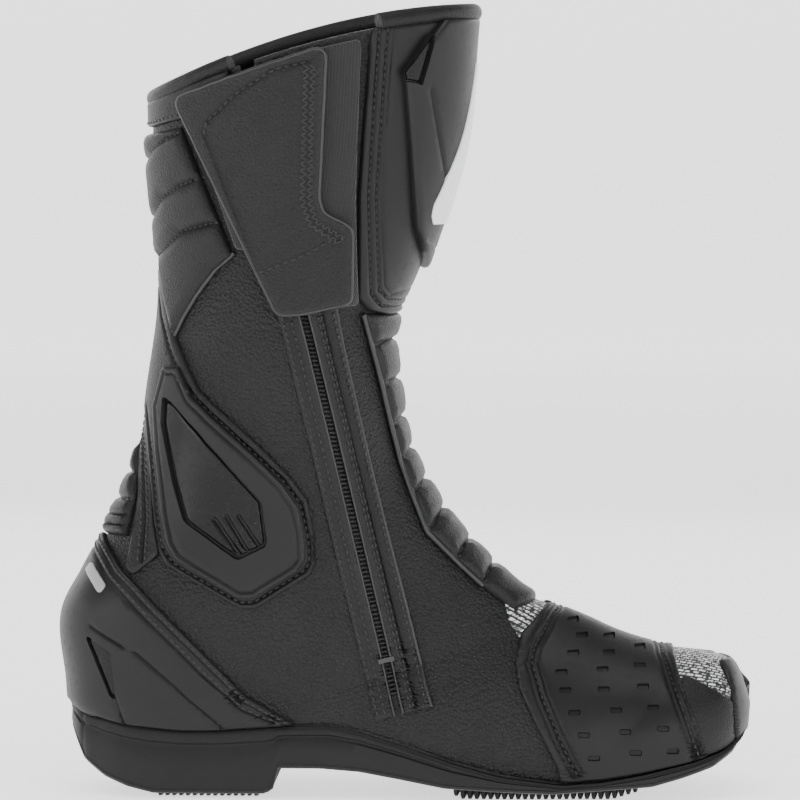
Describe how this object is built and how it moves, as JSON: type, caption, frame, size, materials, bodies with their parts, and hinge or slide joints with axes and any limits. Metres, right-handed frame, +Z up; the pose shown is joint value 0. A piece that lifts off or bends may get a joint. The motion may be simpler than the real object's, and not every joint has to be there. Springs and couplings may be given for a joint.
{
  "type": "motorcycle riding boot",
  "caption": "Left motorcycle riding boot, ankle height over the calf, with a side zip under a fold-over flap, moulded shin, ankle and heel guards, and a ridged flex zone.",
  "frame": {"origin": "middle of the heel's flat ground face", "axes": "+X towards the toe, +Y towards the outer side of the foot, +Z up the shaft"},
  "size_m": [0.3072, 0.1196, 0.3411],
  "materials": {
    "grain_leather": "fine grain, satin",
    "flex_leather": "soft, finer grain, satin",
    "satin_plastic": "moulded, satin with a fine texture",
    "pad_rubber": "smooth, matt",
    "sole_rubber": "moulded, matt",
    "woven_textile": "woven rows that catch the light",
    "elastic_web": "ribbed elastic web",
    "zip_tape": "woven tape, matt",
    "lining_mesh": "padded mesh lining",
    "footbed_foam": "fabric-topped foam",
    "fibre_board": "pressed fibre board",
    "reflective_film": "reflective film, light grey",
    "dark_metal": "black oxide",
    "shank_steel": "spring steel"
  },
  "bodies": {
    "foot": {"outsole": "sole_rubber", "forefoot_tread_insert": "sole_rubber", "heel_tread_insert": "sole_rubber", "shank": "shank_steel", "insole_board": "fibre_board", "footbed": "footbed_foam", "heel_stiffener": "fibre_board", "toe_puff": "fibre_board", "foot_lining": "lining_mesh", "medial_quarter_rear": "grain_leather", "medial_quarter_front": "grain_leather", "lateral_quarter": "grain_leather", "vamp_panel": "woven_textile", "toe_cap": "grain_leather", "toe_shift_pad": "pad_rubber", "toe_slider": "satin_plastic", "toe_slider_screw_front": "dark_metal", "toe_slider_screw_rear": "dark_metal", "heel_cup": "satin_plastic", "heel_inset_medial": "pad_rubber", "heel_inset_lateral": "pad_rubber", "heel_badge": "reflective_film", "instep_flex_panel": "flex_leather"},
    "shaft": {"shaft_lining": "lining_mesh", "medial_rear_panel": "grain_leather", "medial_front_panel": "grain_leather", "lateral_shaft_panel": "grain_leather", "zip_gusset": "woven_textile", "collar": "flex_leather", "zip_stringer_back": "zip_tape", "zip_stringer_front": "zip_tape", "zip_bottom_stop": "dark_metal", "zip_top_stop": "dark_metal", "zip_placket_back": "grain_leather", "zip_placket_front": "grain_leather", "shin_base": "pad_rubber", "shin_plate": "satin_plastic", "shin_reflector": "reflective_film", "calf_pad": "flex_leather", "rear_flex_panel": "flex_leather", "front_flex_panel": "flex_leather", "ankle_pad_medial": "grain_leather", "ankle_guard_medial": "satin_plastic", "ankle_pad_lateral": "grain_leather", "ankle_guard_lateral": "satin_plastic", "flap_loop_patch": "zip_tape"},
    "flap": {"calf_flap": "grain_leather", "flap_elastic": "elastic_web", "flap_hook_patch": "zip_tape"},
    "slider": {"zip_slider": "dark_metal"},
    "puller": {"zip_puller": "dark_metal"}
  },
  "joints": [
    {"name": "ankle_flex", "type": "hinge", "parent": "foot", "child": "shaft", "pos_m": [0.013, 0, 0.112], "axis": [0, 1, 0], "range_deg": [0, 10], "stiffness_Nm_per_rad": 20},
    {"name": "flap_open", "type": "hinge", "parent": "shaft", "child": "flap", "pos_m": [0.0664, -0.0407, 0.2123], "axis": [0.0397, -0.1173, 0.9923], "range_deg": [0, 100]},
    {"name": "zip_travel", "type": "slide", "parent": "shaft", "child": "slider", "axis": [-0.2304, -0.0609, 0.9712], "range_m": [-0.2, 0]},
    {"name": "puller_swing", "type": "hinge", "parent": "slider", "child": "puller", "pos_m": [0.02595, -0.05345, 0.27751], "axis": [-0.0877, -0.9927, -0.0831], "range_deg": [-15, 15]}
  ]
}
